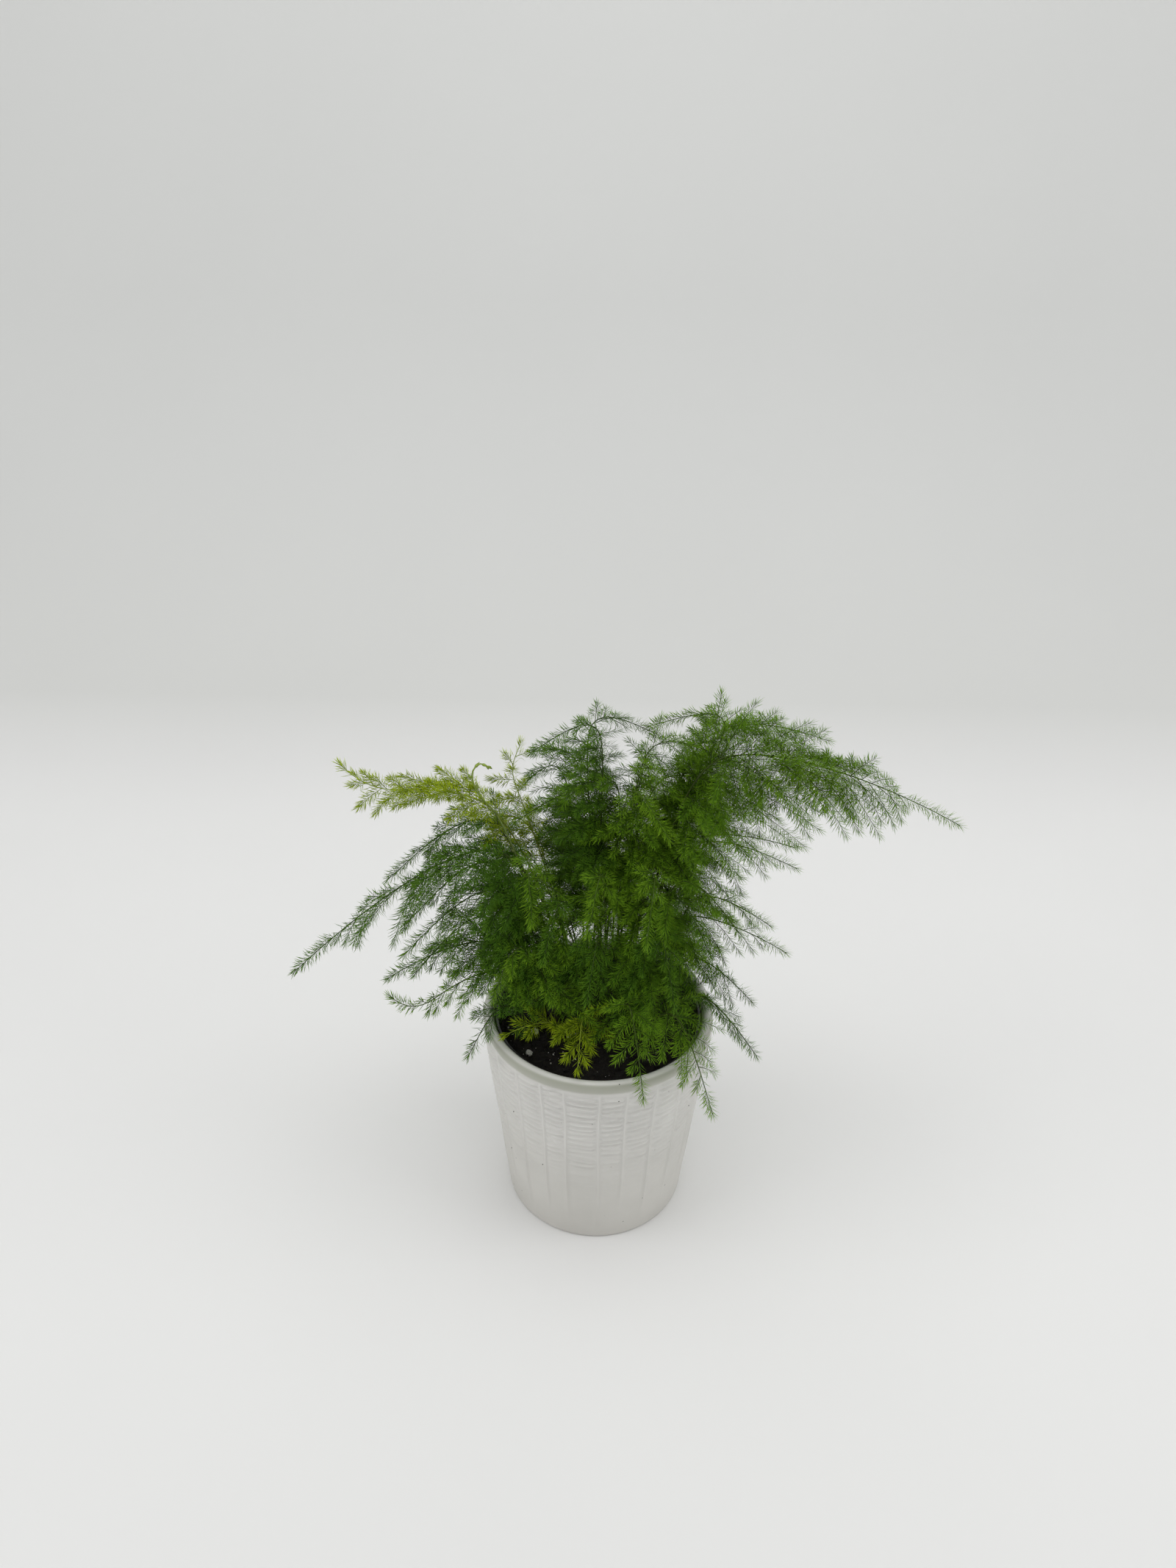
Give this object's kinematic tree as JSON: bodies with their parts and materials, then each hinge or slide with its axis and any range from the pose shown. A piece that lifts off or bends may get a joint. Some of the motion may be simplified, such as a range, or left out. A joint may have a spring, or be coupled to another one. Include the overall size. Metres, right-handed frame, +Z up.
{
  "type": "potted asparagus fern",
  "caption": "Feathery asparagus fern with arching, needle-leaved fronds, rooted in soil in a black grower's pot inside a tapered white pot with netted relief.",
  "frame": {"origin": "middle of the outer pot's flat underside, where the pot rests", "axes": "+Z up along the pot's axis, -Y towards the viewer of the picture, +X to the right"},
  "size_m": [0.326, 0.1837, 0.2723],
  "materials": {
    "white_ceramic": "satin",
    "black_plastic": "satin",
    "soil": "matte",
    "perlite": "matte",
    "foliage_dark": "satin",
    "foliage_mid": "satin",
    "foliage_new": "satin",
    "shoot": "satin"
  },
  "bodies": {
    "root": {"outer_pot": "white_ceramic", "grower_pot": "black_plastic", "soil": "soil", "perlite_1": "perlite", "perlite_2": "perlite", "perlite_3": "perlite", "frond_crown_right": "foliage_mid", "frond_crown_right_back": "foliage_mid", "frond_crown_turned": "foliage_mid", "frond_crown_middle": "foliage_dark", "frond_crown_fan": "foliage_dark", "frond_crown_fill": "foliage_mid", "frond_crown_left": "foliage_dark", "frond_band_right": "foliage_mid", "frond_band_left": "foliage_mid", "frond_light_left": "foliage_new", "frond_light_upright": "foliage_new", "frond_left_long": "foliage_dark", "frond_left_high": "foliage_dark", "frond_left_fill": "foliage_dark", "frond_left_mid": "foliage_dark", "frond_left_under": "foliage_dark", "frond_left_low": "foliage_dark", "frond_left_hook": "foliage_mid", "frond_left_rim": "foliage_dark", "frond_right_high": "foliage_mid", "frond_right_mid": "foliage_mid", "frond_right_fill": "foliage_mid", "frond_right_hang": "foliage_mid", "frond_right_low": "foliage_mid", "frond_right_rim": "foliage_dark", "frond_right_drop": "foliage_dark", "frond_front_right": "foliage_mid", "frond_front_middle": "foliage_mid", "frond_front_left": "foliage_new", "frond_front_low": "foliage_new", "frond_front_patch": "foliage_mid", "frond_mound_left": "foliage_dark", "frond_mound_right": "foliage_dark", "frond_near_left": "foliage_mid", "frond_near_middle": "foliage_mid", "frond_near_right": "foliage_mid", "frond_near_high": "foliage_mid", "frond_near_low": "foliage_dark", "frond_near_low_right": "foliage_dark", "frond_far_right": "foliage_dark", "frond_far_left": "foliage_dark", "frond_far_middle": "foliage_dark", "frond_far_low": "foliage_dark", "frond_far_low_left": "foliage_dark", "frond_far_high": "foliage_dark", "frond_far_high_left": "foliage_dark", "young_shoot": "shoot"}
  },
  "joints": []
}
